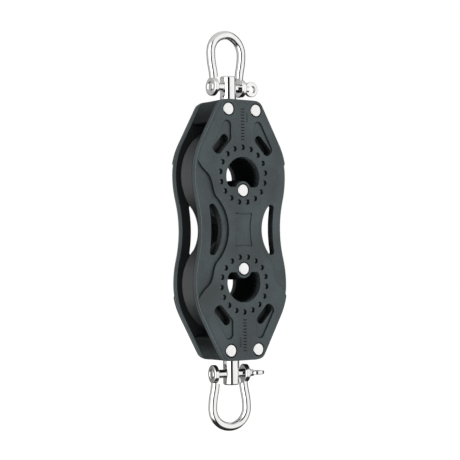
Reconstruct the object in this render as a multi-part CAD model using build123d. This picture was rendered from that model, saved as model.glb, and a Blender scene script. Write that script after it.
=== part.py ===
from build123d import *
import os
from math import acos, asin, atan2, cos, degrees, hypot, radians, sin, sqrt

os.makedirs("parts", exist_ok=True)

# Double sheave block: two sheaves one above the other between a pair of side plates,
# with a swivel post and a bow shackle at each end.
# Millimetres. Origin at the centre of the block, +Z up along its length, +X across the
# plates, +Y from the front plate to the rear plate. The sheaves turn about Y.

# ---- driving sizes: sheave, bearing, block ----
sheave_radius = 28.5
groove_depth = 6.2
core_radius = 13.5
ball_space = 4.5
block_thickness = 28.2
plate_thickness = 6.1
post_radius = 4.7
pin_radius = 2.5
bar_radius = 2.5
rivet_shank_radius = 2.0

# ---- side plates ----
hub_gap = 2.75
rim_cover = 2.7
waist_pinch = 4.0
end_gap = 0.85
head_length = 14.0
end_half_width = post_radius + 8.1
shoulder_radius = sheave_radius + 9.9
flank_share = 0.46
end_corner_radius = 6.0
edge_bevel_depth = 2.4
edge_bevel_width = 0.5
edge_softening = 0.3
cut_overrun = 1.0

# ---- raised web and what is cut into it ----
web_waist_half_width = 10.25
web_waist_radius = 25.0
web_waist_reach = 18.2
# Where the web's edge runs past the hub: in from the plate's widest point, up from its centre.
web_edge_steps = ((10.4, -6.9), (8.1, -0.9), (3.8, 3.2), (1.3, 7.0), (1.0, 13.0))
ear_depth = 1.5
panel_half_width = 6.25
panel_half_height = 9.75
panel_side_bow = 1.3
panel_end_bow = 0.7
panel_corner_radius = 0.7
panel_depth = 0.7
window_web_margin = 3.5
window_edge_margin = 5.7
window_half_height = 14.5
window_corner_radius = 1.7
pocket_inner_x = 7.9
pocket_side_margin = 6.1
pocket_lean = 42.7
pocket_end_reach = 3.9
pocket_depth = 1.2
pocket_rivet_margin = 2.9
pocket_corner_radius = 2.5
slot_shift = -2.7
slot_spacing = 8.2
slot_radius = 2.6
mark_bar_count = 9
mark_bar_length = 2.4
mark_bar_width = 0.7
mark_bar_depth = 0.25
mark_bar_pitch = 1.75

# ---- hub: heart-shaped opening, ring of blind holes, bearing ----
heart_radius = core_radius - 2.0
heart_drop = 1.25
lobe_depth = core_radius - 6.5
lobe_radius = 2.8
cusp_fillet = 1.2
core_step = 0.9
rivet_boss_radius = 5.3
hub_rivet_drop = core_radius - 4.6
ring_hole_radius = 1.5
ring_hole_depth = 2.4
ring_hole_count = 17
core_spigot_radius = core_radius - 0.9
core_spigot_length = 0.8
spigot_clearance = 0.1
bearing_clearance = 0.05
balls_per_row = 20
ball_side_room = 0.6

# ---- sheaves and bearing retainers ----
sheave_side_clearance = 0.4
rim_land = 0.7
groove_floor_half = 2.2
groove_floor_rise = 1.0
rim_softening = 0.28
retainer_thickness = 1.0
retainer_seat = 1.9
retainer_inner_gap = 0.8
retainer_sink = 0.4
retainer_clearance = 0.05

# ---- rivets ----
rivet_head_radius = rivet_shank_radius + 1.45
rivet_head_thickness = 0.9
rivet_head_gap = 0.45
rivet_hole_clearance = 0.05
rivet_end_margin = 6.0
rivet_side_margin = 5.74
rivet_head_softening = 0.25

# ---- swivel heads ----
head_side_margin = 0.1
head_lower_radius = 1.2
head_neck_length = 6.4
post_clearance = 0.1
flange_radius = post_radius + 1.6
flange_thickness = 3.5
flange_clearance = 0.2
washer_thickness = 1.4
washer_clearance = 0.05
pin_standoff = 8.05
post_beyond_pin = 6.5
post_crown = 1.1
scoop_radius = 20.0
scoop_depth = 0.9

# ---- shackles ----
pin_clearance = 0.1
ear_inner_x = post_radius + 3.55
ear_thickness = 3.0
ear_radius = pin_radius + 2.85
ear_softening = 0.8
ear_hole_chamfer = 0.35
ear_relief = 0.55
bow_radius = 10.7
bow_height = 33.0
side_play = 1.2
lower_swivel_angle = -10.5
pin_eye_radius = 4.45
pin_eye_hole_radius = 2.2
pin_eye_hole_shift = 0.5
pin_eye_thickness = 2.2
pin_eye_softening = 0.6
pin_eye_reach = 10.5
pin_neck_radius = pin_radius - 0.4
pin_collar_radius = pin_radius + 0.8
pin_collar_length = 1.0
pin_seat_gap = 0.05
pin_tip_chamfer = 0.4

# ---- places worked out from the driving sizes ----
gap_half = block_thickness / 2 - plate_thickness
hub_offset = sheave_radius + hub_gap
hub_half_width = sheave_radius + rim_cover
waist_half_width = hub_half_width - waist_pinch
end_half_length = hub_offset + sheave_radius + end_gap + head_length
groove_bottom_radius = sheave_radius - groove_depth
sheave_bore_radius = core_radius + ball_space
retainer_outer_radius = sheave_bore_radius + retainer_seat
retainer_face = gap_half - sheave_side_clearance - retainer_sink
rivet_counterbore = rivet_head_radius + rivet_head_gap
ear_outer_x = ear_inner_x + ear_thickness
leg_start_x = ear_outer_x - bar_radius
ball_pitch_radius = core_radius + ball_space / 2
ball_radius = ball_space / 2 - bearing_clearance
ball_row_offset = retainer_face - retainer_thickness - ball_side_room - ball_radius
pocket_hub_distance = ball_pitch_radius + 3.75
slot_hub_distance = ball_pitch_radius + 6.85
mark_bar_start = ball_pitch_radius + 4.4
pin_z = end_half_length + pin_standoff

# Each side's long concave curve: two tangent arcs, the hub's and the waist's.
flank_ratio = (waist_pinch ** 2 + hub_offset ** 2) / (2 * waist_pinch)
waist_radius = flank_ratio * (1 - flank_share)

# The slanted side runs from the end corner, tangent to the shoulder arc.
shoulder_x = hub_half_width - shoulder_radius
corner_x = end_half_width - shoulder_x
corner_z = end_half_length - hub_offset
side_lean = atan2(corner_z, corner_x) - acos(shoulder_radius / hypot(corner_x, corner_z))
side_line = (cos(side_lean), sin(side_lean),
             cos(side_lean) * end_half_width + sin(side_lean) * end_half_length)
rivet_z = end_half_length - rivet_end_margin
rivet_x = (side_line[2] - rivet_side_margin - side_line[1] * rivet_z) / side_line[0]

# A pocket's sharp top is rounded down until it clears the end rivet's counterbore.
pocket_peak = (side_line[2] - pocket_side_margin - side_line[0] * pocket_inner_x) / side_line[1]
pocket_top = rivet_z - rivet_counterbore - pocket_rivet_margin
pocket_top_radius = (pocket_peak - pocket_top) / (1 / sin(side_lean / 2) - 1)
hub_rivet_z = hub_offset - hub_rivet_drop


def save(shape, name):
    """Write one sub-part as parts/NAME.step."""
    shape.label = name
    export_step(shape, f"parts/{name}.step")


def both_ends(shape):
    """A sketch or curve and its mirror image about the block's middle."""
    return shape + mirror(shape, about=Plane.XZ)


def both_sides(shape):
    """A sketch or curve and its mirror image about the block's long axis."""
    return shape + mirror(shape, about=Plane.YZ)


def line_crossing(a, b):
    """Point where two lines meet, each given as (normal x, normal z, distance)."""
    det = a[0] * b[1] - a[1] * b[0]
    return ((a[2] * b[1] - a[1] * b[2]) / det, (a[0] * b[2] - a[2] * b[0]) / det)


def on_front(sketch, height):
    """Raise a sketch of X and Z so that it lies `height` above the front plate's inner face."""
    return Plane(origin=(0, -gap_half - height, 0), x_dir=(1, 0, 0), z_dir=(0, -1, 0)) * sketch


def block_cylinder(radius, y_from, y_to, x=0.0, z=0.0):
    """Round bar along Y."""
    plane = Plane(origin=(x, y_from, z), x_dir=(1, 0, 0), z_dir=(0, 1, 0))
    return extrude(plane * Circle(radius), amount=y_to - y_from)


# ------------------------------------------------------------------ side plate outlines
def plate_outline():
    """Outline shared by both plates: flat ends, slanted sides, round hubs, slim waist."""
    corner = (end_half_width, end_half_length)
    tangent_point = (shoulder_x + shoulder_radius * cos(side_lean),
                     hub_offset + shoulder_radius * sin(side_lean))
    shoulder_middle = (shoulder_x + shoulder_radius * cos(side_lean / 2),
                       hub_offset + shoulder_radius * sin(side_lean / 2))
    widest = (hub_half_width, hub_offset)
    narrowest = (waist_half_width, 0)
    flank_join = (hub_half_width - waist_pinch * flank_share, hub_offset * (1 - flank_share))
    quarter = Curve() + [
        Line((0, end_half_length), corner),
        Line(corner, tangent_point),
        ThreePointArc(tangent_point, shoulder_middle, widest),
        TangentArc(widest, flank_join, tangent=(0, -1)),
        TangentArc(narrowest, flank_join, tangent=(0, 1)),
    ]
    outline = make_face(both_ends(both_sides(quarter)).edges())
    corners = outline.vertices().filter_by(lambda v: abs(abs(v.Y) - end_half_length) < 0.01
                                           and abs(v.X) > end_half_width / 2)
    return fillet(corners, end_corner_radius)


def ear_faces():
    """The two lowered areas beside the waist, left and right of the raised web."""
    reach_z = sqrt(web_waist_radius ** 2 - (web_waist_radius - web_waist_reach
                                            + web_waist_half_width) ** 2)
    arc_centre_x = web_waist_half_width + web_waist_radius
    turn = asin(reach_z / web_waist_radius)
    arc_middle = (arc_centre_x - web_waist_radius * cos(turn / 2),
                  web_waist_radius * sin(turn / 2))
    arc_end = (web_waist_reach, reach_z)
    steps = [(hub_half_width - inward, hub_offset + up) for inward, up in web_edge_steps]
    beyond = (2 * hub_half_width, steps[-1][1])
    web_edge = Curve() + [
        ThreePointArc((web_waist_half_width, 0), arc_middle, arc_end),
        Spline(arc_end, *steps, tangents=[(sin(turn), cos(turn)), (0, 1)]),
        Line(steps[-1], beyond),
        Line(beyond, (beyond[0], 0)),
    ]
    return both_sides(make_face(both_ends(web_edge).edges()))


def window_faces():
    """Lens-shaped windows through the ears, one each side of the waist."""
    web_centre_x = web_waist_half_width + web_waist_radius
    inner_disc = Pos(web_centre_x, 0) * Circle(web_waist_radius - window_web_margin)
    outer_disc = Pos(waist_half_width + waist_radius, 0) * Circle(waist_radius + window_edge_margin)
    band = Pos(web_centre_x, 0) * Rectangle(4 * web_waist_radius, 2 * window_half_height)
    lens = inner_disc & band
    lens = lens - outer_disc
    lens = Sketch() + [face for face in lens.faces() if face.center().X < waist_half_width]
    return both_sides(fillet(lens.vertices(), window_corner_radius))


def panel_face():
    """Recessed panel at the middle of the waist; its four edges bow inwards."""
    w = panel_half_width
    h = panel_half_height
    edges = Curve() + [
        ThreePointArc((-w, h), (0, h - panel_end_bow), (w, h)),
        ThreePointArc((w, h), (w - panel_side_bow, 0), (w, -h)),
        ThreePointArc((w, -h), (0, -h + panel_end_bow), (-w, -h)),
        ThreePointArc((-w, -h), (-w + panel_side_bow, 0), (-w, h)),
    ]
    face = make_face(edges.edges())
    return fillet(face.vertices(), panel_corner_radius)


def pocket_faces():
    """Four shallow tapered pockets, one in each corner of the plate."""
    lean = radians(pocket_lean)
    hub_tangent = (cos(lean), sin(lean), pocket_hub_distance + sin(lean) * hub_offset)
    inner_edge = (1.0, 0.0, pocket_inner_x)
    outer_edge = (side_line[0], side_line[1], side_line[2] - pocket_side_margin)
    end_edge = (sin(lean), -cos(lean), pocket_end_reach - cos(lean) * hub_offset)
    top = line_crossing(inner_edge, outer_edge)
    near_hub = line_crossing(inner_edge, hub_tangent)
    low_inner = line_crossing(hub_tangent, end_edge)
    low_outer = line_crossing(outer_edge, end_edge)
    edges = Polyline(top, near_hub, low_inner, low_outer, close=True)
    face = make_face(edges.edges())
    face = fillet(face.vertices().sort_by(Axis.Y)[:-1], pocket_corner_radius)
    peak = face.vertices().sort_by(Axis.Y)[-1]
    face = fillet(peak, pocket_top_radius)
    return both_ends(both_sides(face))


def slot_faces():
    """Four through slots in the pockets, tangent to a circle round the hub."""
    lean = radians(pocket_lean)
    centre_x = slot_hub_distance * cos(lean) + slot_shift * sin(lean)
    centre_z = hub_offset + slot_hub_distance * sin(lean) - slot_shift * cos(lean)
    slot = Pos(centre_x, centre_z) * Rot(0, 0, pocket_lean - 90) * SlotCenterToCenter(
        slot_spacing, 2 * slot_radius)
    return both_ends(both_sides(slot))


def heart_face():
    """Opening through the upper hub: a circle cut short above the rivet and its boss."""
    face = Pos(0, hub_offset - heart_drop) * Circle(heart_radius)
    floor_z = hub_offset - lobe_depth
    face -= Pos(0, floor_z - heart_radius) * Rectangle(4 * heart_radius, 2 * heart_radius)
    face -= Pos(0, hub_rivet_z) * Circle(rivet_boss_radius)
    floor_vertices = face.vertices().filter_by(lambda v: abs(v.Y - floor_z) < 0.01)
    outer = floor_vertices.filter_by(lambda v: abs(v.X) > rivet_boss_radius)
    face = fillet(outer, lobe_radius)
    inner = face.vertices().filter_by(
        lambda v: abs(hypot(v.X, v.Y - hub_rivet_z) - rivet_boss_radius) < 0.01)
    return fillet(inner, cusp_fillet)


def ring_hole_faces():
    """Ring of small holes over the ball race, one of them towards the block's end."""
    ring = Sketch() + [
        Pos(0, hub_offset) * place * Circle(ring_hole_radius)
        for place in PolarLocations(ball_pitch_radius, ring_hole_count, start_angle=90)
    ]
    return both_ends(ring)


def rivet_places():
    """Every rivet's X and Z: two at the hubs, two at each end."""
    hubs = [(0, hub_rivet_z), (0, -hub_rivet_z)]
    upper = [(-rivet_x, rivet_z), (rivet_x, rivet_z)]
    lower = [(-rivet_x, -rivet_z), (rivet_x, -rivet_z)]
    return hubs, upper, lower


def rivet_discs(radius):
    """A disc of this radius at every rivet."""
    hubs, upper, lower = rivet_places()
    return Sketch() + [Pos(x, z) * Circle(radius) for x, z in hubs + upper + lower]


def mark_bars():
    """Plain short bars sunk in a column between each hub and its end."""
    first = hub_offset + mark_bar_start
    bars = Sketch() + [
        Pos(0, first + index * mark_bar_pitch) * Rectangle(mark_bar_length, mark_bar_width)
        for index in range(mark_bar_count)
    ]
    return both_ends(bars)


# ------------------------------------------------------------------ side plates
def make_front_plate():
    """Front side plate with its raised web, ears, windows, pockets and openings."""
    outline = plate_outline()
    straight = plate_thickness - edge_bevel_depth
    taper = degrees(atan2(edge_bevel_width, edge_bevel_depth))
    plate = extrude(on_front(outline, 0), amount=straight)
    plate += extrude(on_front(outline, straight), amount=edge_bevel_depth, taper=taper)

    for sketch, depth in (
        (ear_faces(), ear_depth),
        (panel_face(), panel_depth),
        (pocket_faces(), pocket_depth),
        (rivet_discs(rivet_counterbore), rivet_head_thickness),
        (ring_hole_faces(), ring_hole_depth),
    ):
        plate -= extrude(on_front(sketch, plate_thickness - depth), amount=depth + cut_overrun)
    for sketch in (
        window_faces(),
        slot_faces(),
        both_ends(heart_face()),
        rivet_discs(rivet_shank_radius + rivet_hole_clearance),
    ):
        plate -= extrude(on_front(sketch, -cut_overrun), amount=plate_thickness + 2 * cut_overrun)
    spigot_recess = both_ends(Pos(0, hub_offset) * Circle(core_spigot_radius + spigot_clearance))
    plate -= extrude(on_front(spigot_recess, -cut_overrun),
                     amount=cut_overrun + core_spigot_length + spigot_clearance)

    # The loops are softened one after another, because together they can defeat the chamfer.
    web_top = plate.faces().sort_by(Axis.Y)[0]
    for centre in [wire.center() for wire in web_top.inner_wires()]:
        loops = plate.faces().sort_by(Axis.Y)[0].inner_wires()
        plate = chamfer(loops.sort_by_distance(centre)[0].edges(), edge_softening)
    return plate - extrude(on_front(mark_bars(), plate_thickness - mark_bar_depth),
                           amount=mark_bar_depth + cut_overrun)


front_plate = make_front_plate()
save(front_plate, "front_plate")
save(mirror(front_plate, about=Plane.XZ), "rear_plate")


# ------------------------------------------------------------------ rivets
def make_rivet(x, z):
    """Headed at both ends; each head sits in its plate's counterbore, flush with the web."""
    outside = block_thickness / 2
    seat = outside - rivet_head_thickness
    shank = block_cylinder(rivet_shank_radius, -seat, seat, x, z)
    front_head = block_cylinder(rivet_head_radius, -outside, -seat, x, z)
    rear_head = block_cylinder(rivet_head_radius, seat, outside, x, z)
    rims = [front_head.edges().sort_by(Axis.Y)[0]]
    front_head = fillet(rims, rivet_head_softening)
    rims = [rear_head.edges().sort_by(Axis.Y)[-1]]
    rear_head = fillet(rims, rivet_head_softening)
    return shank + front_head + rear_head


for group, places in zip(("hub_rivets", "upper_end_rivets", "lower_end_rivets"), rivet_places()):
    save(Compound(children=[make_rivet(x, z) for x, z in places]), group)


# ------------------------------------------------------------------ hub cores
def make_hub_core():
    """Fixed inner race and spacer: clamped between the plates, heart-shaped bore."""
    reach = gap_half + core_spigot_length
    core = block_cylinder(core_radius, -gap_half, gap_half, 0, hub_offset)
    core += block_cylinder(core_spigot_radius, -reach, reach, 0, hub_offset)
    bore = offset(heart_face(), amount=-core_step)
    core -= extrude(on_front(bore, -gap_half), amount=2 * reach, both=True)
    core -= block_cylinder(rivet_shank_radius + rivet_hole_clearance, -2 * reach, 2 * reach,
                           0, hub_rivet_z)
    return core


hub_core = make_hub_core()
save(hub_core, "upper_hub_core")
save(mirror(hub_core, about=Plane.XY), "lower_hub_core")


# ------------------------------------------------------------------ sheaves and bearings
def make_sheave():
    """Grooved sheave, modelled about the Y axis at the origin."""
    half = gap_half - sheave_side_clearance
    land = half - rim_land
    seat = retainer_face - retainer_thickness
    seat_radius = retainer_outer_radius + retainer_clearance
    floor_radius = groove_bottom_radius + groove_floor_rise
    profile = Curve() + [
        Line((sheave_bore_radius, -seat), (seat_radius, -seat)),
        Line((seat_radius, -seat), (seat_radius, -half)),
        Line((seat_radius, -half), (sheave_radius, -half)),
        Line((sheave_radius, -half), (sheave_radius, -land)),
        Line((sheave_radius, -land), (floor_radius, -groove_floor_half)),
        ThreePointArc((floor_radius, -groove_floor_half), (groove_bottom_radius, 0),
                      (floor_radius, groove_floor_half)),
        Line((floor_radius, groove_floor_half), (sheave_radius, land)),
        Line((sheave_radius, land), (sheave_radius, half)),
        Line((sheave_radius, half), (seat_radius, half)),
        Line((seat_radius, half), (seat_radius, seat)),
        Line((seat_radius, seat), (sheave_bore_radius, seat)),
        Line((sheave_bore_radius, seat), (sheave_bore_radius, -seat)),
    ]
    sheave = revolve(make_face(profile.edges()), axis=Axis.Y)
    rims = [edge for edge in sheave.edges().filter_by(GeomType.CIRCLE)
            if abs(edge.radius - sheave_radius) < 0.01]
    return fillet(rims, rim_softening)


def make_retainer(side):
    """Thin ring pressed into the sheave's side; it keeps one ball row in."""
    near = side * (retainer_face - retainer_thickness)
    far = side * retainer_face
    ring = block_cylinder(retainer_outer_radius, min(near, far), max(near, far))
    return ring - block_cylinder(core_radius + retainer_inner_gap, -gap_half, gap_half)


def make_ball_row(side):
    """One row of loose balls between the hub core and the sheave's bore."""
    step = 360 / balls_per_row
    places = [radians(index * step) for index in range(balls_per_row)]
    return [
        Pos(ball_pitch_radius * cos(turn), side * ball_row_offset, ball_pitch_radius * sin(turn))
        * Sphere(ball_radius)
        for turn in places
    ]


sheave = make_sheave()
for end, hub_z in (("upper", hub_offset), ("lower", -hub_offset)):
    save(Pos(0, 0, hub_z) * sheave, f"{end}_sheave")
    for face, side in (("front", -1), ("rear", 1)):
        save(Pos(0, 0, hub_z) * make_retainer(side), f"{end}_{face}_retainer")
        balls = [Pos(0, 0, hub_z) * ball for ball in make_ball_row(side)]
        save(Compound(children=balls), f"{end}_{face}_balls")


# ------------------------------------------------------------------ swivel heads
def swivel_levels():
    """Heights of the upper head's cavity: floor, flange top and shoulder."""
    shoulder = end_half_length - head_neck_length
    flange_top = shoulder - washer_thickness - 2 * washer_clearance
    floor = flange_top - flange_thickness - flange_clearance
    return floor, flange_top, shoulder


def round_cut(radius, z_from, z_to):
    """Round bar along Z on the block's axis."""
    return Pos(0, 0, z_from) * extrude(Circle(radius), amount=z_to - z_from)


def make_head_half():
    """Front half of the upper swivel head: a moulded block between the plate ends."""
    keep = Pos(0, end_half_length) * Rectangle(4 * hub_half_width, 2 * head_length)
    outline = offset(plate_outline(), amount=-head_side_margin) & keep
    lower = outline.vertices().group_by(Axis.Y)[0]
    outline = fillet(lower, head_lower_radius)
    half = extrude(on_front(outline, -gap_half), amount=gap_half)
    floor, flange_top, shoulder = swivel_levels()
    half -= round_cut(post_radius + post_clearance, floor, end_half_length + cut_overrun)
    half -= round_cut(flange_radius + flange_clearance, floor, shoulder)
    for x in (-rivet_x, rivet_x):
        half -= block_cylinder(rivet_shank_radius + rivet_hole_clearance, -2 * gap_half,
                               gap_half, x, rivet_z)
    return half


def make_washer():
    """Thrust washer between the post's flange and the head's shoulder."""
    flange_top = swivel_levels()[1]
    bottom = flange_top + washer_clearance
    top = bottom + washer_thickness
    return round_cut(flange_radius, bottom, top) - round_cut(post_radius + post_clearance,
                                                             bottom, top)


def make_post():
    """Upper swivel post: flanged foot, round neck, dished sides and cross hole."""
    flange_top = swivel_levels()[1]
    foot = flange_top - flange_thickness
    post = round_cut(flange_radius, foot, flange_top)
    post += round_cut(post_radius, foot, pin_z + post_beyond_pin)
    crown = [post.edges().sort_by(Axis.Z)[-1]]
    post = fillet(crown, post_crown)
    scoop_x = post_radius - scoop_depth + scoop_radius
    for side in (-1, 1):
        post -= block_cylinder(scoop_radius, -2 * post_radius, 2 * post_radius,
                               side * scoop_x, pin_z)
    hole = Plane(origin=(-2 * post_radius, 0, pin_z), z_dir=(1, 0, 0)) * Circle(
        pin_radius + pin_clearance)
    return post - extrude(hole, amount=4 * post_radius)


head_half = make_head_half()
washer = make_washer()
post = make_post()
save(head_half, "upper_head_front")
save(mirror(head_half, about=Plane.XZ), "upper_head_rear")
save(mirror(head_half, about=Plane.XY), "lower_head_front")
save(mirror(mirror(head_half, about=Plane.XZ), about=Plane.XY), "lower_head_rear")
save(washer, "upper_thrust_washer")
save(mirror(washer, about=Plane.XY), "lower_thrust_washer")
save(post, "upper_post")
save(Rot(0, 0, lower_swivel_angle) * mirror(post, about=Plane.XY), "lower_post")


# ------------------------------------------------------------------ shackles
def x_bar(radius, x_from, x_to):
    """Round bar along X through the pin's centre."""
    return extrude(Plane(origin=(x_from, 0, 0), z_dir=(1, 0, 0)) * Circle(radius),
                   amount=x_to - x_from)


def make_shackle():
    """Bow shackle body about its pin's centre, bow towards +Z."""
    bow_centre_z = bow_height - bar_radius - bow_radius
    start_z = bar_radius
    join = ((leg_start_x + bow_radius) / 2, 0, (start_z + bow_centre_z) / 2)
    left_join = (-join[0], 0, join[2])
    path = Curve() + [
        TangentArc((leg_start_x, 0, start_z), join, tangent=(0, 0, 1)),
        TangentArc((bow_radius, 0, bow_centre_z), join, tangent=(0, 0, -1)),
        ThreePointArc((bow_radius, 0, bow_centre_z), (0, 0, bow_centre_z + bow_radius),
                      (-bow_radius, 0, bow_centre_z)),
        TangentArc((-bow_radius, 0, bow_centre_z), left_join, tangent=(0, 0, -1)),
        TangentArc((-leg_start_x, 0, start_z), left_join, tangent=(0, 0, 1)),
    ]
    wire = Wire(path.edges())
    section = Plane(origin=wire @ 0, z_dir=wire % 0) * Circle(bar_radius)
    body = sweep(section, path=wire)
    body -= x_bar(ear_radius + ear_relief, -ear_inner_x, ear_inner_x)
    for side in (-1, 1):
        ear = x_bar(ear_radius, min(side * ear_inner_x, side * ear_outer_x),
                    max(side * ear_inner_x, side * ear_outer_x))
        body += fillet(ear.edges().filter_by(GeomType.CIRCLE), ear_softening)
    hole_radius = pin_radius + pin_clearance
    body -= x_bar(hole_radius, -2 * ear_outer_x, 2 * ear_outer_x)
    for side in (-1, 1):
        mouth = Plane(origin=(side * ear_outer_x, 0, 0), z_dir=(-side, 0, 0))
        body -= extrude(mouth * Circle(hole_radius + ear_hole_chamfer),
                        amount=ear_hole_chamfer, taper=45)
    return body


def make_shackle_pin():
    """Screw pin along X: plain shank, collar against the ear, flat eye to turn it by."""
    shoulder = ear_outer_x + pin_seat_gap
    shank = x_bar(pin_radius, -ear_outer_x, shoulder)
    shank = chamfer(shank.edges().filter_by(GeomType.CIRCLE).sort_by(Axis.X)[0], pin_tip_chamfer)
    collar = x_bar(pin_collar_radius, shoulder, shoulder + pin_collar_length)
    eye_x = shoulder + pin_eye_reach - pin_eye_radius
    neck_end = eye_x + pin_eye_hole_shift - pin_eye_hole_radius - pin_eye_softening
    neck = x_bar(pin_neck_radius, shoulder, neck_end)
    half = pin_eye_thickness / 2
    eye = block_cylinder(pin_eye_radius, -half, half, eye_x, 0)
    eye = fillet(eye.edges().filter_by(GeomType.CIRCLE), pin_eye_softening)
    keep = Pos(shoulder + pin_eye_reach, 0, 0) * Box(2 * pin_eye_reach, 4 * pin_eye_radius,
                                                     4 * pin_eye_radius)
    eye = (eye & keep) - block_cylinder(pin_eye_hole_radius, -pin_eye_thickness,
                                        pin_eye_thickness, eye_x + pin_eye_hole_shift, 0)
    return shank + collar + neck + eye


# Both shackles rest against one side of their posts, the lower one also turned on its swivel.
shackle = Pos(-side_play, 0, 0) * make_shackle()
shackle_pin = Pos(-side_play, 0, 0) * make_shackle_pin()
lower_seat = Rot(0, 0, lower_swivel_angle) * Pos(0, 0, -pin_z)
save(Pos(0, 0, pin_z) * shackle, "upper_shackle")
save(lower_seat * mirror(shackle, about=Plane.XY), "lower_shackle")
save(Pos(0, 0, pin_z) * shackle_pin, "upper_shackle_pin")
save(lower_seat * Rot(90, 0, 0) * shackle_pin, "lower_shackle_pin")
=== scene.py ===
import math

import bpy
import bmesh
from mathutils import Matrix, Vector


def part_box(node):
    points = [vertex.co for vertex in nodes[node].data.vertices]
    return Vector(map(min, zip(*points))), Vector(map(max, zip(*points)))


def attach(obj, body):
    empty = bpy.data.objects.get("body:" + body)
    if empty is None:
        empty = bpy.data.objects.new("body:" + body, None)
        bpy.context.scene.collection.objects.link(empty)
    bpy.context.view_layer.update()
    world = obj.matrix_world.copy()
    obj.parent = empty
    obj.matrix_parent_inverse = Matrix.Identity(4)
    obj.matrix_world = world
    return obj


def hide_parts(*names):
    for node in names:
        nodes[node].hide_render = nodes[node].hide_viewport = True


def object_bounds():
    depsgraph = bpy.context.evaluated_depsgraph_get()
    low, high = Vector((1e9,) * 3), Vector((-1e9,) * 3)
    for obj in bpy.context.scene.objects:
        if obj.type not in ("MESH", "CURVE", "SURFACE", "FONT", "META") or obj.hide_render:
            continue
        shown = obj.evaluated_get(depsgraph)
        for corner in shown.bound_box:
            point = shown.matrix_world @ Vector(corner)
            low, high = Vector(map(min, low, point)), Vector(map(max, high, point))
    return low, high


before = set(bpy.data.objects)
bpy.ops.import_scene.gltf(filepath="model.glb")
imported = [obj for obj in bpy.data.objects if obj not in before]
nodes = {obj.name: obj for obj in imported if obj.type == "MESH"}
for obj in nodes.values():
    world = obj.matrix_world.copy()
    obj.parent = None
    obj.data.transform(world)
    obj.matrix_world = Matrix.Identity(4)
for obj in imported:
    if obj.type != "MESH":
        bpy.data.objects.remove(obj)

bpy.context.view_layer.update()
cad_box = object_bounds()


# ---------------------------------------------------------------- side plates
# Two mirror-image side plates that carry everything else.
# Injection-moulded from black nylon filled with glass fibre, so the skin is satin and a little
# mottled, and its edges are painted paler, partly for rubbing wear and partly as painted highlight.
# Riveted together through the cores and heads.
plate_colour = (0.066, 0.088, 0.094, 1)
# Paler edges: partly wear, partly painted highlight.
plate_worn_and_highlit_colour = (0.17, 0.19, 0.195, 1)
plate_dusty_colour = (0.05, 0.06, 0.063, 1)
# Colour of painted shade in recesses, between the plates and on the head sides.
painted_shade_colour = (0.003, 0.004, 0.0045, 1)
# The paler ring-hole floors are painted light.
ring_floor_painted_light_colour = (0.3, 0.36, 0.38, 1)
ring_floor_painted_light_share = 0.8
ring_floor_tolerance = 0.0001
bevel_samples = 6


def feed(tree, socket, value):
    """Give a socket a value, or a link from another node's output."""
    if isinstance(value, bpy.types.NodeSocket):
        tree.links.new(value, socket)
    else:
        socket.default_value = value


def put(tree, kind, sockets=None, **settings):
    """Add a node with these settings, and feed the sockets named here."""
    node = tree.nodes.new(kind)
    for name, value in settings.items():
        setattr(node, name, value)
    for name, value in (sockets or {}).items():
        feed(tree, next(s for s in node.inputs if s.name == name and s.enabled), value)
    return node


def effect(name, takes, gives):
    """An empty shader node group with these inputs (name, kind, value) and outputs."""
    group = bpy.data.node_groups.new(name, "ShaderNodeTree")
    for socket, kind, value in takes:
        made = group.interface.new_socket(socket, in_out="INPUT", socket_type=kind)
        made.default_value = value
    for socket, kind in gives:
        group.interface.new_socket(socket, in_out="OUTPUT", socket_type=kind)
    return group, group.nodes.new("NodeGroupInput").outputs, group.nodes.new("NodeGroupOutput").inputs


def mix_colours(tree, factor, a, b):
    """The mix of two colours."""
    return put(tree, "ShaderNodeMix", {"Factor": factor, "A": a, "B": b},
               data_type="RGBA").outputs["Result"]


def maths(tree, operation, a, b=0.0):
    """One sum on two numbers or sockets."""
    node = put(tree, "ShaderNodeMath", operation=operation)
    feed(tree, node.inputs[0], a)
    feed(tree, node.inputs[1], b)
    return node.outputs["Value"]


def vector_maths(tree, operation, a, b=(0, 0, 0)):
    """One sum on two vectors or sockets; its Vector or its Value is the answer."""
    node = put(tree, "ShaderNodeVectorMath", operation=operation)
    feed(tree, node.inputs[0], a)
    feed(tree, node.inputs[1], b)
    return node.outputs


def part_of(tree, vector, axis):
    """A vector's part along X, Y or Z."""
    return put(tree, "ShaderNodeSeparateXYZ", {"Vector": vector}).outputs[axis]


def spread(tree, value, low, high, to_low=0.0, to_high=1.0):
    """A value's range stretched to another, smoothly and without overshoot."""
    return put(tree, "ShaderNodeMapRange", {"Value": value, "From Min": low, "From Max": high,
                                            "To Min": to_low, "To Max": to_high},
               interpolation_type="SMOOTHSTEP").outputs["Result"]


def noise(tree, coords, scale, detail=3.0, roughness=0.5):
    """Cloudy noise on these coordinates."""
    return put(tree, "ShaderNodeTexNoise", {"Vector": coords, "Scale": scale, "Detail": detail,
                                            "Roughness": roughness}).outputs["Fac"]


def edge_wear_and_highlight_effect():
    """Mask of the edges painted paler, partly rubbing wear and partly painted highlight: where
    rounding the surface off would turn its normal.
    """
    group, inside, out = effect("edge wear", [
        ("Vector", "NodeSocketVector", (0, 0, 0)),
        ("Reach", "NodeSocketFloat", 0.0004),
        ("Patchiness", "NodeSocketFloat", 400.0),
    ], [("Mask", "NodeSocketFloat")])
    rounded = put(group, "ShaderNodeBevel", {"Radius": inside["Reach"]}, samples=bevel_samples)
    surface = put(group, "ShaderNodeNewGeometry").outputs["Normal"]
    facing = vector_maths(group, "DOT_PRODUCT", rounded.outputs["Normal"], surface)["Value"]
    turned = spread(group, facing, 0.998, 0.86)
    patches = spread(group, noise(group, inside["Vector"], inside["Patchiness"], 4), 0.38, 0.62,
                     0.25, 1.0)
    group.links.new(maths(group, "MULTIPLY", turned, patches), out["Mask"])
    return group


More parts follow.
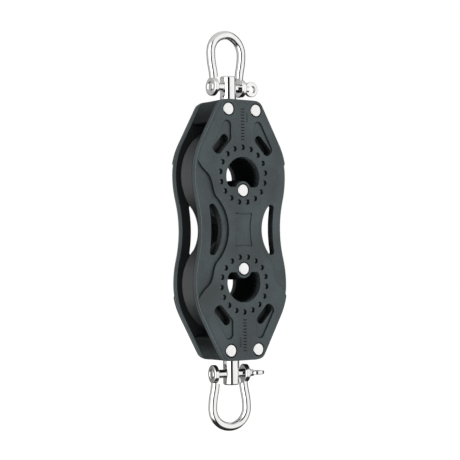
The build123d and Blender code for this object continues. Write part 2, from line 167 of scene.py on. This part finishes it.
def moulded_skin_effect():
    """Skin of a moulded piece: cloudy tone, fine grain and soft edges."""
    group, inside, out = effect("moulded skin", [
        ("Vector", "NodeSocketVector", (0, 0, 0)),
        ("Grain", "NodeSocketFloat", 2600.0),
        ("Depth", "NodeSocketFloat", 0.00002),
        ("Softness", "NodeSocketFloat", 0.00025),
    ], [("Tone", "NodeSocketFloat"), ("Gloss", "NodeSocketFloat"), ("Normal", "NodeSocketVector")])
    clouds = noise(group, inside["Vector"], 55.0, 4)
    specks = noise(group, inside["Vector"], inside["Grain"], 2, 0.6)
    fibres = noise(group, inside["Vector"], 850.0, 2)
    tone = maths(group, "ADD", maths(group, "MULTIPLY", clouds, 0.55),
                 maths(group, "ADD", maths(group, "MULTIPLY", specks, 0.2),
                       maths(group, "MULTIPLY", fibres, 0.25)))
    group.links.new(tone, out["Tone"])
    gloss = maths(group, "ADD", maths(group, "MULTIPLY", clouds, 0.5),
                  maths(group, "MULTIPLY", specks, 0.5))
    group.links.new(spread(group, gloss, 0.3, 0.7), out["Gloss"])
    rounded = put(group, "ShaderNodeBevel", {"Radius": inside["Softness"]}, samples=bevel_samples)
    roughness = maths(group, "ADD", maths(group, "MULTIPLY", specks, 0.6),
                      maths(group, "MULTIPLY", fibres, 0.4))
    bump = put(group, "ShaderNodeBump", {"Strength": 1.0, "Distance": inside["Depth"],
                                         "Height": roughness, "Normal": rounded.outputs["Normal"]})
    group.links.new(bump.outputs["Normal"], out["Normal"])
    return group


def recess_effect():
    """Mask of shade: closed-in walls, crevices near the face, and all inside the half width."""
    group, inside, out = effect("recess shade", [
        ("Vector", "NodeSocketVector", (0, 0, 0)),
        ("Reach", "NodeSocketFloat", 0.014),
        ("Crevice Reach", "NodeSocketFloat", 0.0011),
        ("Inner Half Width", "NodeSocketFloat", 0.0),
        ("Crevice Half Width", "NodeSocketFloat", 0.0),
    ], [("Mask", "NodeSocketFloat")])
    closeness = []
    for reach, low, high in (("Reach", 0.9, 0.6), ("Crevice Reach", 0.9, 0.55)):
        open_sky = put(group, "ShaderNodeAmbientOcclusion", {"Distance": inside[reach]}, samples=8)
        closeness.append(spread(group, open_sky.outputs["AO"], low, high))
    closed, crevice = closeness
    normal = put(group, "ShaderNodeNewGeometry").outputs["True Normal"]
    facing = maths(group, "ABSOLUTE", part_of(group, normal, "Y"))
    walls = maths(group, "MULTIPLY", closed, spread(group, facing, 0.85, 0.4))
    from_middle = maths(group, "ABSOLUTE", part_of(group, inside["Vector"], "Y"))
    inner = maths(group, "LESS_THAN", from_middle, inside["Inner Half Width"])
    shallow = maths(group, "GREATER_THAN", from_middle, inside["Crevice Half Width"])
    crevice = maths(group, "MULTIPLY", crevice, maths(group, "MULTIPLY", shallow, 0.85))
    group.links.new(maths(group, "MAXIMUM", maths(group, "MAXIMUM", walls, crevice), inner),
                    out["Mask"])
    return group


edge_wear_and_highlight = edge_wear_and_highlight_effect()
moulded_skin = moulded_skin_effect()
recess_shade = recess_effect()


def finish_named(name):
    """A new material: its node tree, its shader and its Object coordinates."""
    material = bpy.data.materials.new(name)
    material.use_nodes = True
    tree = material.node_tree
    shader = tree.nodes["Principled BSDF"]
    coords = tree.nodes.new("ShaderNodeTexCoord").outputs["Object"]
    return material, tree, shader, coords


def placed(tree, group, sockets):
    """One of the shared effects, placed in a material with its own values."""
    node = tree.nodes.new("ShaderNodeGroup")
    node.node_tree = group
    for name, value in sockets.items():
        feed(tree, node.inputs[name], value)
    return node.outputs


def moulded_finish(name, colour, worn_and_highlit, dusty, rough=(0.42, 0.6), depth=0.00002, wear_and_highlight=0.6,
                   inner=0.0, shallow=0.0, recess=0.9, shaded_seats=(), painted_light_floors=0.0, specular=0.5):
    """Moulded plastic: cloudy colour, edges painted paler for wear and as painted highlight,
    recesses darkened with painted shade, satin skin.

    Nearer the mid-plane than inner it is all painted shade, and only further out than shallow
    does a crevice get painted shade. The seats given are round places (centre, radius) repeated in
    all four corners that get painted shade, and the floors value is how far from the mid-plane
    the ring-hole floors lie, which are painted paler as painted light.
    """
    material, tree, shader, coords = finish_named(name)
    shader.inputs["Specular IOR Level"].default_value = specular
    skin = placed(tree, moulded_skin, {"Vector": coords, "Depth": depth})
    mask = placed(tree, edge_wear_and_highlight, {"Vector": coords})["Mask"]
    base = mix_colours(tree, spread(tree, skin["Tone"], 0.35, 0.65), dusty, colour)
    # Edges painted paler: partly wear, partly painted highlight.
    base = mix_colours(tree, maths(tree, "MULTIPLY", mask, wear_and_highlight), base, worn_and_highlit)
    shade = placed(tree, recess_shade, {"Vector": coords, "Inner Half Width": inner,
                                        "Crevice Half Width": shallow})["Mask"]
    # Ring-hole floors painted paler: painted light.
    if painted_light_floors:
        from_middle = maths(tree, "ABSOLUTE", part_of(tree, coords, "Y"))
        on_painted_light_floor = maths(tree, "COMPARE", from_middle, painted_light_floors)
        on_painted_light_floor.node.inputs[2].default_value = ring_floor_tolerance
        base = mix_colours(tree, maths(tree, "MULTIPLY", on_painted_light_floor, ring_floor_painted_light_share), base,
                           ring_floor_painted_light_colour)
    # The round rivet seats are joined to the painted shade.
    for centre, radius in shaded_seats:
        corner = vector_maths(tree, "ABSOLUTE", coords)["Vector"]
        flat = vector_maths(tree, "MULTIPLY", corner, (1, 0, 1))["Vector"]
        away = vector_maths(tree, "DISTANCE", flat, centre)["Value"]
        shade = maths(tree, "MAXIMUM", shade, maths(tree, "LESS_THAN", away, radius))
    # Painted shade in recesses, on the inside of the plates and at the rivet seats.
    base = mix_colours(tree, maths(tree, "MULTIPLY", shade, recess), base, painted_shade_colour)
    tree.links.new(base, shader.inputs["Base Color"])
    gloss = spread(tree, skin["Gloss"], 0, 1, rough[1], rough[0])
    tree.links.new(maths(tree, "MAXIMUM", gloss, maths(tree, "MULTIPLY", shade, recess)),
                   shader.inputs["Roughness"])
    tree.links.new(skin["Normal"], shader.inputs["Normal"])
    return material


def wear_finish(material, *names):
    """Give CAD nodes this finish."""
    for name in names:
        node = nodes[name]
        for index in range(len(node.material_slots)):
            node.material_slots[index].link = "OBJECT"
            node.material_slots[index].material = material


plate_face = -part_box("front_plate")[0].y
plate_inside = -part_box("front_plate")[1].y
inside_margin = 0.0004
crevice_depth = 0.0018
ring_hole_depth = 0.0024
rivet_seat_margin = 0.0005
rivet_head_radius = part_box("hub_rivets")[1].x
# Round places at the rivet heads where the plates get painted shade.
shaded_rivet_seats = []
for node in ("hub_rivets", "upper_end_rivets"):
    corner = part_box(node)[1] - Vector((rivet_head_radius, 0, rivet_head_radius))
    shaded_rivet_seats.append(((corner.x, 0, corner.z), rivet_head_radius + rivet_seat_margin))
plate_finish = moulded_finish("moulded plate", plate_colour, plate_worn_and_highlit_colour, plate_dusty_colour,
                              inner=plate_inside + inside_margin,
                              shallow=plate_face - crevice_depth, shaded_seats=shaded_rivet_seats,
                              painted_light_floors=plate_face - ring_hole_depth, specular=0.3)
wear_finish(plate_finish, "front_plate", "rear_plate")


# ---------------------------------------------------------------- hub cores
# The fixed middle of each hub: inner ball race and spacer in one, with a heart-shaped bore.
# Moulded in plain black plastic and clamped between the plates by the hub rivet.
core_finish = moulded_finish("moulded core", (0.004, 0.005, 0.0055, 1), (0.03, 0.033, 0.034, 1),
                             (0.003, 0.0035, 0.004, 1), rough=(0.5, 0.65), wear_and_highlight=0.3,
                             specular=0.02)
wear_finish(core_finish, "upper_hub_core", "lower_hub_core")


# ---------------------------------------------------------------- sheaves and retainers
# The two grooved wheels, and the thin rings pressed into their sides that keep the balls in.
# Turned from black acetal: a satin skin, with fine lathe rings round each wheel's own axle.
# The wheels run on the balls and touch nothing else.
lathe_pitch = 0.00045


def turned_finish(name, centre, colour, rough):
    """Satin plastic turned on a lathe about an axle along Y at this centre."""
    material, tree, shader, coords = finish_named(name)
    centred = put(tree, "ShaderNodeMapping", {"Vector": coords, "Location": [-c for c in centre]},
                  vector_type="POINT").outputs["Vector"]
    flat = vector_maths(tree, "MULTIPLY", centred, (1, 0, 1))["Vector"]
    radius = vector_maths(tree, "LENGTH", flat)["Value"]
    path = maths(tree, "ADD", radius, part_of(tree, centred, "Y"))
    rings = maths(tree, "SINE", maths(tree, "MULTIPLY", path, 2 * math.pi / lathe_pitch))
    clouds = noise(tree, coords, 120.0, 3)
    base = mix_colours(tree, spread(tree, clouds, 0.3, 0.7), [c * 0.75 for c in colour[:3]] + [1],
                       colour)
    # Edges painted paler: partly wear, partly painted highlight.
    mask = placed(tree, edge_wear_and_highlight, {"Vector": coords, "Reach": 0.0003})["Mask"]
    base = mix_colours(tree, maths(tree, "MULTIPLY", mask, 0.35), base, (0.08, 0.085, 0.088, 1))
    tree.links.new(base, shader.inputs["Base Color"])
    tree.links.new(spread(tree, clouds, 0.3, 0.7, rough[0], rough[1]), shader.inputs["Roughness"])
    bump = put(tree, "ShaderNodeBump", {"Height": rings, "Strength": 0.35, "Distance": 0.000004})
    tree.links.new(bump.outputs["Normal"], shader.inputs["Normal"])
    return material


for end in ("upper", "lower"):
    low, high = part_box(f"{end}_sheave")
    wheel_centre = (low + high) / 2
    sheave_finish = turned_finish(f"{end} sheave", wheel_centre, (0.03, 0.033, 0.035, 1),
                                  (0.36, 0.44))
    wear_finish(sheave_finish, f"{end}_sheave")
    retainer_finish = turned_finish(f"{end} retainer", wheel_centre, (0.02, 0.022, 0.023, 1),
                                    (0.3, 0.42))
    wear_finish(retainer_finish, f"{end}_front_retainer", f"{end}_rear_retainer")


# ---------------------------------------------------------------- bearing balls
# Two rows of loose balls in each hub, which carry the sheave on its core.
# Ground from black acetal, and held in place only by the retainers; the thrust washers of
# the swivels are turned from the same plastic.
balls_per_row = 20
ball_subdivisions = 4
ball_finish = moulded_finish("bearing balls", (0.03, 0.032, 0.033, 1), (0.08, 0.08, 0.08, 1),
                             (0.022, 0.024, 0.025, 1), rough=(0.18, 0.28), depth=0.000004)
wear_finish(ball_finish, "upper_thrust_washer", "lower_thrust_washer")


def node_maker(name, takes):
    """An empty Geometry Nodes tree with these inputs (name, kind) and a geometry output."""
    tree = bpy.data.node_groups.new(name, "GeometryNodeTree")
    tree.interface.new_socket("Geometry", in_out="INPUT", socket_type="NodeSocketGeometry")
    for socket, kind in takes:
        tree.interface.new_socket(socket, in_out="INPUT", socket_type=kind)
    tree.interface.new_socket("Geometry", in_out="OUTPUT", socket_type="NodeSocketGeometry")
    return tree, tree.nodes.new("NodeGroupInput").outputs, tree.nodes.new("NodeGroupOutput").inputs


def close_tree(tree, instances, material, out):
    """Make the instances real and give them their finish."""
    real = put(tree, "GeometryNodeRealizeInstances", {"Geometry": instances})
    smooth = put(tree, "GeometryNodeSetShadeSmooth", {"Geometry": real.outputs[0]})
    dressed = put(tree, "GeometryNodeSetMaterial", {"Geometry": smooth.outputs[0]})
    tree.links.new(material, dressed.inputs["Material"])
    tree.links.new(dressed.outputs[0], out["Geometry"])


def grown(name, tree, values, seed=None):
    """A plain mesh object grown by this tree from these values and, if given, a seed mesh."""
    mesh = seed or bpy.data.meshes.new(name)
    source = bpy.data.objects.new(name + "_source", mesh)
    bpy.context.scene.collection.objects.link(source)
    modifier = source.modifiers.new("grow", "NODES")
    modifier.node_group = tree
    for item in tree.interface.items_tree:
        if item.in_out == "INPUT" and item.name in values:
            modifier[item.identifier] = values[item.name]
    made = bpy.data.meshes.new_from_object(
        source.evaluated_get(bpy.context.evaluated_depsgraph_get()))
    made.name = name
    piece = bpy.data.objects.new(name, made)
    bpy.context.scene.collection.objects.link(piece)
    bpy.data.objects.remove(source)
    return piece


def ball_rows_tree():
    """Two rings of balls about an axle along Y."""
    tree, inside, out = node_maker("ball rows", [
        ("Balls", "NodeSocketInt"), ("Pitch Radius", "NodeSocketFloat"),
        ("Ball Radius", "NodeSocketFloat"), ("Row Half Gap", "NodeSocketFloat"),
        ("Centre", "NodeSocketVector"), ("Finish", "NodeSocketMaterial")])
    ring = put(tree, "GeometryNodeMeshCircle", {"Vertices": inside["Balls"],
                                                "Radius": inside["Pitch Radius"]})
    rows = tree.nodes.new("GeometryNodeJoinGeometry")
    for side in (-1, 1):
        shift = put(tree, "ShaderNodeCombineXYZ",
                    {"Y": maths(tree, "MULTIPLY", inside["Row Half Gap"], side)})
        place = vector_maths(tree, "ADD", inside["Centre"], shift.outputs[0])["Vector"]
        row = put(tree, "GeometryNodeTransform", {"Geometry": ring.outputs[0],
                                                  "Translation": place,
                                                  "Rotation": (math.pi / 2, 0, 0)})
        tree.links.new(row.outputs[0], rows.inputs[0])
    ball = put(tree, "GeometryNodeMeshIcoSphere", {"Radius": inside["Ball Radius"],
                                                   "Subdivisions": ball_subdivisions})
    balls = put(tree, "GeometryNodeInstanceOnPoints", {"Points": rows.outputs[0],
                                                       "Instance": ball.outputs[0]})
    close_tree(tree, balls.outputs[0], inside["Finish"], out)
    return tree


ball_rows = ball_rows_tree()
for end in ("upper", "lower"):
    front_low, front_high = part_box(f"{end}_front_balls")
    rear_low, rear_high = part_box(f"{end}_rear_balls")
    ball_size = (front_high.y - front_low.y) / 2
    balls = grown(f"{end}_ball_rows", ball_rows, {
        "Balls": balls_per_row, "Ball Radius": ball_size,
        "Pitch Radius": (front_high.x - front_low.x) / 2 - ball_size,
        "Row Half Gap": (rear_low.y + rear_high.y - front_low.y - front_high.y) / 4,
        "Centre": (front_low + rear_high) / 2, "Finish": ball_finish})
    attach(balls, f"{end}_balls")
    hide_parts(f"{end}_front_balls", f"{end}_rear_balls")


# ---------------------------------------------------------------- swivel heads
# The block at each end between the plates, split along its middle round the post's flange.
# Moulded in the same black nylon as the plates and riveted between them.
# Their sides get painted shade, darker towards the sheave, like the painted shade between the plates.
head_finish = moulded_finish("moulded head", (0.06, 0.077, 0.082, 1), (0.14, 0.155, 0.16, 1),
                             (0.045, 0.055, 0.058, 1), recess=0.8, specular=0.15)
head_tree = head_finish.node_tree
head_base = head_tree.nodes["Principled BSDF"].inputs["Base Color"]
head_coords = put(head_tree, "ShaderNodeTexCoord").outputs["Object"]
head_low, head_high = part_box("upper_head_front")
# Painted shade on the head sides, deepening towards the sheave.
least_dark_height = head_high.z + 0.0005
all_dark_height = head_low.z + 0.004
dark_patchiness = 0.002
from_centre = maths(head_tree, "ABSOLUTE", part_of(head_tree, head_coords, "Z"))
patches = maths(head_tree, "MULTIPLY", noise(head_tree, head_coords, 300.0), dark_patchiness)
head_painted_shade = spread(head_tree, maths(head_tree, "ADD", from_centre, patches), least_dark_height,
                  all_dark_height, 0.45, 1.0)
head_colour = head_base.links[0].from_socket
head_tree.links.new(mix_colours(head_tree, head_painted_shade, head_colour, painted_shade_colour), head_base)
wear_finish(head_finish, "upper_head_front", "upper_head_rear", "lower_head_front",
            "lower_head_rear")


# ---------------------------------------------------------------- rivets
# Six stainless rivets: one through each hub core and two through each swivel head.
# Each shank is headed over at both ends into a shallow dome, set in a round seat.
rivet_head_depth = 0.0009
rivet_shank_radius = 0.002
rivet_under_share = 0.86
rivet_edge_depth = 0.00022
rivet_top_share = 0.97
rivet_top_depth = 0.00006
rivet_dome = 0.0003
rivet_spin_steps = 48
rivet_sharp_angle = math.radians(35)


def steel_finish(name, rough=(0.03, 0.08), waviness=0.00002):
    """Polished stainless steel: clean reflections, faint buffing marks and waviness."""
    material, tree, shader, coords = finish_named(name)
    shader.inputs["Metallic"].default_value = 1.0
    clouds = noise(tree, coords, 260.0, 4, 0.6)
    base = mix_colours(tree, clouds, (0.7, 0.7, 0.695, 1), (0.84, 0.84, 0.835, 1))
    tree.links.new(base, shader.inputs["Base Color"])
    marks = put(tree, "ShaderNodeMapping", {"Vector": coords, "Scale": (1, 1, 0.12)})
    buffing = noise(tree, marks.outputs["Vector"], 5200.0, 2)
    tree.links.new(spread(tree, buffing, 0.3, 0.75, rough[0], rough[1]), shader.inputs["Roughness"])
    waves = put(tree, "ShaderNodeBump", {"Height": noise(tree, coords, 420.0, 2),
                                         "Strength": 1.0, "Distance": waviness})
    lines = put(tree, "ShaderNodeBump", {"Height": buffing, "Strength": 0.5,
                                         "Distance": 0.000001, "Normal": waves.outputs["Normal"]})
    tree.links.new(lines.outputs["Normal"], shader.inputs["Normal"])
    return material


def like_pieces_tree():
    """Copies of the seed mesh, evenly spaced along a line."""
    tree, inside, out = node_maker("row of like pieces", [
        ("Count", "NodeSocketInt"), ("Start", "NodeSocketVector"), ("Step", "NodeSocketVector"),
        ("Finish", "NodeSocketMaterial")])
    line = put(tree, "GeometryNodeMeshLine", {"Count": inside["Count"],
                                              "Start Location": inside["Start"],
                                              "Offset": inside["Step"]})
    copies = put(tree, "GeometryNodeInstanceOnPoints", {"Points": line.outputs[0],
                                                        "Instance": inside["Geometry"]})
    close_tree(tree, copies.outputs[0], inside["Finish"], out)
    return tree


def rivet_mesh(head_radius, half_length):
    """One rivet about Y: a shank with a domed head at each end."""
    head = half_length - rivet_head_depth
    side = [(rivet_shank_radius, 0), (rivet_shank_radius, head),
            (head_radius * rivet_under_share, head),
            (head_radius, half_length - rivet_edge_depth),
            (head_radius * rivet_top_share, half_length - rivet_top_depth)]
    side += [(head_radius * share, half_length + rivet_dome * (1 - share ** 2))
             for share in (0.9, 0.75, 0.5, 0.25)]
    whole = [(radius, -y) for radius, y in reversed(side[1:])] + side
    shape = bmesh.new()
    rings = []
    turns = [2 * math.pi * index / rivet_spin_steps for index in range(rivet_spin_steps)]
    for radius, y in whole:
        rings.append([shape.verts.new((radius * math.cos(turn), y, radius * math.sin(turn)))
                      for turn in turns])
    for low, high in zip(rings, rings[1:]):
        for index in range(rivet_spin_steps):
            after = (index + 1) % rivet_spin_steps
            shape.faces.new((low[index], low[after], high[after], high[index]))
    for ring, y in ((rings[0], -half_length - rivet_dome), (rings[-1], half_length + rivet_dome)):
        tip = shape.verts.new((0, y, 0))
        for index in range(rivet_spin_steps):
            shape.faces.new((ring[index], ring[(index + 1) % rivet_spin_steps], tip))
    bmesh.ops.recalc_face_normals(shape, faces=shape.faces)
    for face in shape.faces:
        face.smooth = True
    mesh = bpy.data.meshes.new("rivet")
    shape.to_mesh(mesh)
    shape.free()
    mesh.set_sharp_from_angle(angle=rivet_sharp_angle)
    return mesh


rivet_finish = steel_finish("rivet steel", rough=(0.12, 0.24))
like_pieces = like_pieces_tree()
for node in ("hub_rivets", "upper_end_rivets", "lower_end_rivets"):
    low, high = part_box(node)
    start = Vector((low.x + rivet_head_radius, 0, low.z + rivet_head_radius))
    step = Vector((high.x - rivet_head_radius, 0, high.z - rivet_head_radius)) - start
    rivets = grown(node + "_domed", like_pieces,
                   {"Count": 2, "Start": start, "Step": step, "Finish": rivet_finish},
                   rivet_mesh(rivet_head_radius, high.y))
    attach(rivets, "block")
    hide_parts(node)


# ---------------------------------------------------------------- marks on the plates
# A plain column of short dark bars between each hub and its end, and a smaller one beside it.
# The first nine of each long column fill the bars sunk in the plate; the rest are let into it.
mark_first, mark_pitch, mark_count = 0.0514, 0.00175, 11
mark_size = (0.0026, 0.0009)
small_mark_first, small_mark_pitch, small_mark_count = 0.0618, 0.0011, 5
small_mark_size = (0.0016, 0.0006)
small_mark_aside = 0.0031
mark_thickness = 0.0003
mark_stand_out = 0.00005
mark_finish = moulded_finish("black marks", (0.004, 0.005, 0.0055, 1), (0.03, 0.032, 0.033, 1),
                             (0.003, 0.0035, 0.004, 1), rough=(0.5, 0.7), wear_and_highlight=0.2)


def mark_mesh(length, width):
    """One short bar with softened edges, its length along X and its width along Z."""
    shape = bmesh.new()
    bmesh.ops.create_cube(shape, size=1.0,
                          matrix=Matrix.Diagonal((length, mark_thickness, width, 1)))
    bmesh.ops.bevel(shape, geom=shape.edges[:], offset=width * 0.2, segments=2, affect="EDGES")
    mesh = bpy.data.meshes.new("mark")
    shape.to_mesh(mesh)
    shape.free()
    return mesh


mark_middle = plate_face + mark_stand_out - mark_thickness / 2
for side, name in ((-1, "front"), (1, "rear")):
    for end, way in (("upper", 1), ("lower", -1)):
        marks = grown(f"{name}_{end}_marks", like_pieces, {
            "Count": mark_count, "Start": (0, side * mark_middle, way * mark_first),
            "Step": (0, 0, way * mark_pitch), "Finish": mark_finish}, mark_mesh(*mark_size))
        small = grown(f"{name}_{end}_small_marks", like_pieces, {
            "Count": small_mark_count,
            "Start": (way * small_mark_aside, side * mark_middle, way * small_mark_first),
            "Step": (0, 0, way * small_mark_pitch), "Finish": mark_finish},
            mark_mesh(*small_mark_size))
        for piece in (marks, small):
            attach(piece, "block")


# ---------------------------------------------------------------- posts
# The swivel posts: round bars with dished sides, each with a flange held inside its head.
# Turned from stainless steel and mirror-polished.
post_finish = steel_finish("polished post", waviness=0.00001)
wear_finish(post_finish, "upper_post", "lower_post")


# ---------------------------------------------------------------- shackles and their pins
# Bow shackles on the posts, closed by screw pins with a flat eye to turn them by.
# Forged from 5 mm stainless bar and tumbled bright, so they shine a little softer than the posts.
shackle_finish = steel_finish("polished shackle", rough=(0.04, 0.1), waviness=0.00001)
wear_finish(shackle_finish, "upper_shackle", "lower_shackle", "upper_shackle_pin",
            "lower_shackle_pin")


# ---------------------------------------------------------------- floor, light and camera
# The block hangs by its upper shackle over a plain pale floor.
# A soft studio lights it from all sides, and the camera stands to its left, a little below it.
floor_drop = 0.045
floor_radius = 6.0
floor_height = cad_box[0].z - floor_drop
floor_mesh = bpy.data.meshes.new("pale_floor")
disc = bmesh.new()
bmesh.ops.create_circle(disc, cap_ends=True, segments=96, radius=floor_radius,
                        matrix=Matrix.Translation((0, 0, floor_height)))
disc.to_mesh(floor_mesh)
disc.free()
floor = bpy.data.objects.new("pale_floor", floor_mesh)
bpy.context.scene.collection.objects.link(floor)
floor_material, _, floor_shader, _ = finish_named("pale floor")
floor_shader.inputs["Roughness"].default_value = 0.9
floor_shader.inputs["Specular IOR Level"].default_value = 0.0
floor_shader.inputs["Emission Color"].default_value = (1, 1, 1, 1)
floor_shader.inputs["Base Color"].default_value = (0.86, 0.86, 0.86, 1)
floor_shader.inputs["Emission Strength"].default_value = 0.45
floor.visible_glossy = False
floor.data.materials.append(floor_material)

azimuth, elevation, roll = math.radians(35.628), math.radians(-1.564), math.radians(-0.658)
distance = 0.7615
lens = 104.5487
back = Vector((-math.sin(azimuth) * math.cos(elevation), -math.cos(azimuth) * math.cos(elevation),
               math.sin(elevation)))
right = Vector((math.cos(azimuth), -math.sin(azimuth), 0))
up = back.cross(right)

# The studio round it, which lights the block softly from all sides.
# Each pair is degrees to the right of the camera and how bright the studio is there.
soft_walls = [(-180, 1.0), (-168, 1.0), (-150, 0.35), (-125, 0.5), (-105, 0.7), (-60, 0.6),
              (-40, 0.4), (-8, 0.42), (-2, 0.12), (12, 0.12), (20, 1.0), (100, 1.15), (108, 0.45),
              (116, 0.8), (128, 0.35), (150, 0.3), (168, 1.0), (180, 1.0)]
# What shines in polished surfaces: white panels, a dark gap at the camera and dark rear corners.
bright_walls = [(-180, 0.9), (-172, 0.6), (-165, 0.15), (-135, 0.2), (-115, 0.5), (-80, 0.75),
                (-58, 0.9), (-52, 2.4), (-9, 2.4), (-5, 0.02), (22, 0.02), (26, 1.1),
                (100, 1.2), (105, 0.15), (114, 0.15), (118, 0.9), (122, 0.06),
                (162, 0.02), (172, 0.6), (180, 0.9)]
world = bpy.data.worlds.new("studio")
bpy.context.scene.world = world
world.use_nodes = True
sky = world.node_tree
background = sky.nodes["Background"]
towards = sky.nodes.new("ShaderNodeTexCoord").outputs["Generated"]


def along(direction):
    """How far the view into the studio points along this direction."""
    return vector_maths(sky, "DOT_PRODUCT", towards, direction)["Value"]


turn = maths(sky, "ARCTAN2", along(right), along((-math.sin(azimuth), -math.cos(azimuth), 0)))
turn = maths(sky, "ADD", maths(sky, "DIVIDE", turn, 2 * math.pi), 0.5)


def round_walls(stops):
    """Brightness round the studio from these (degrees, brightness) pairs."""
    walls = put(sky, "ShaderNodeValToRGB", {"Fac": turn})
    ramp = walls.color_ramp
    while len(ramp.elements) > 1:
        ramp.elements.remove(ramp.elements[-1])
    for index, (degrees, light) in enumerate(stops):
        place = degrees / 360 + 0.5
        stop = ramp.elements[0] if index == 0 else ramp.elements.new(place)
        stop.position = place
        stop.color = (light, light, light, 1)
    return walls.outputs["Color"]


rays = put(sky, "ShaderNodeLightPath").outputs
ceiling = spread(sky, along((0, 0, 1)), 0.55, 0.8)
lighting = mix_colours(sky, rays["Is Glossy Ray"], round_walls(soft_walls),
                       round_walls(bright_walls))
room = mix_colours(sky, ceiling, lighting, (0.75, 0.75, 0.75, 1))
underneath = maths(sky, "MULTIPLY", spread(sky, along((0, 0, -1)), 0.5, 0.75),
                   rays["Is Glossy Ray"])
room = mix_colours(sky, underneath, room, (0.03, 0.03, 0.03, 1))
sky.links.new(mix_colours(sky, rays["Is Camera Ray"], room, (1, 1, 1, 1)),
              background.inputs["Color"])

across = right * math.cos(roll) + up * math.sin(roll)
upright = up * math.cos(roll) - right * math.sin(roll)
camera_data = bpy.data.cameras.new("camera")
camera = bpy.data.objects.new("camera", camera_data)
bpy.context.scene.collection.objects.link(camera)
camera.rotation_mode = "QUATERNION"
camera.rotation_quaternion = Matrix((across, upright, back)).transposed().to_quaternion()
camera.location = Vector((0, -plate_face, 0)) + back * distance
camera_data.sensor_width = 36.0
camera_data.lens = lens
camera_data.shift_x = -0.0301
camera_data.shift_y = -0.001
camera_data.clip_start = 0.01
bpy.context.scene.camera = camera
bpy.context.scene.view_settings.view_transform = "Standard"

bpy.context.view_layer.update()
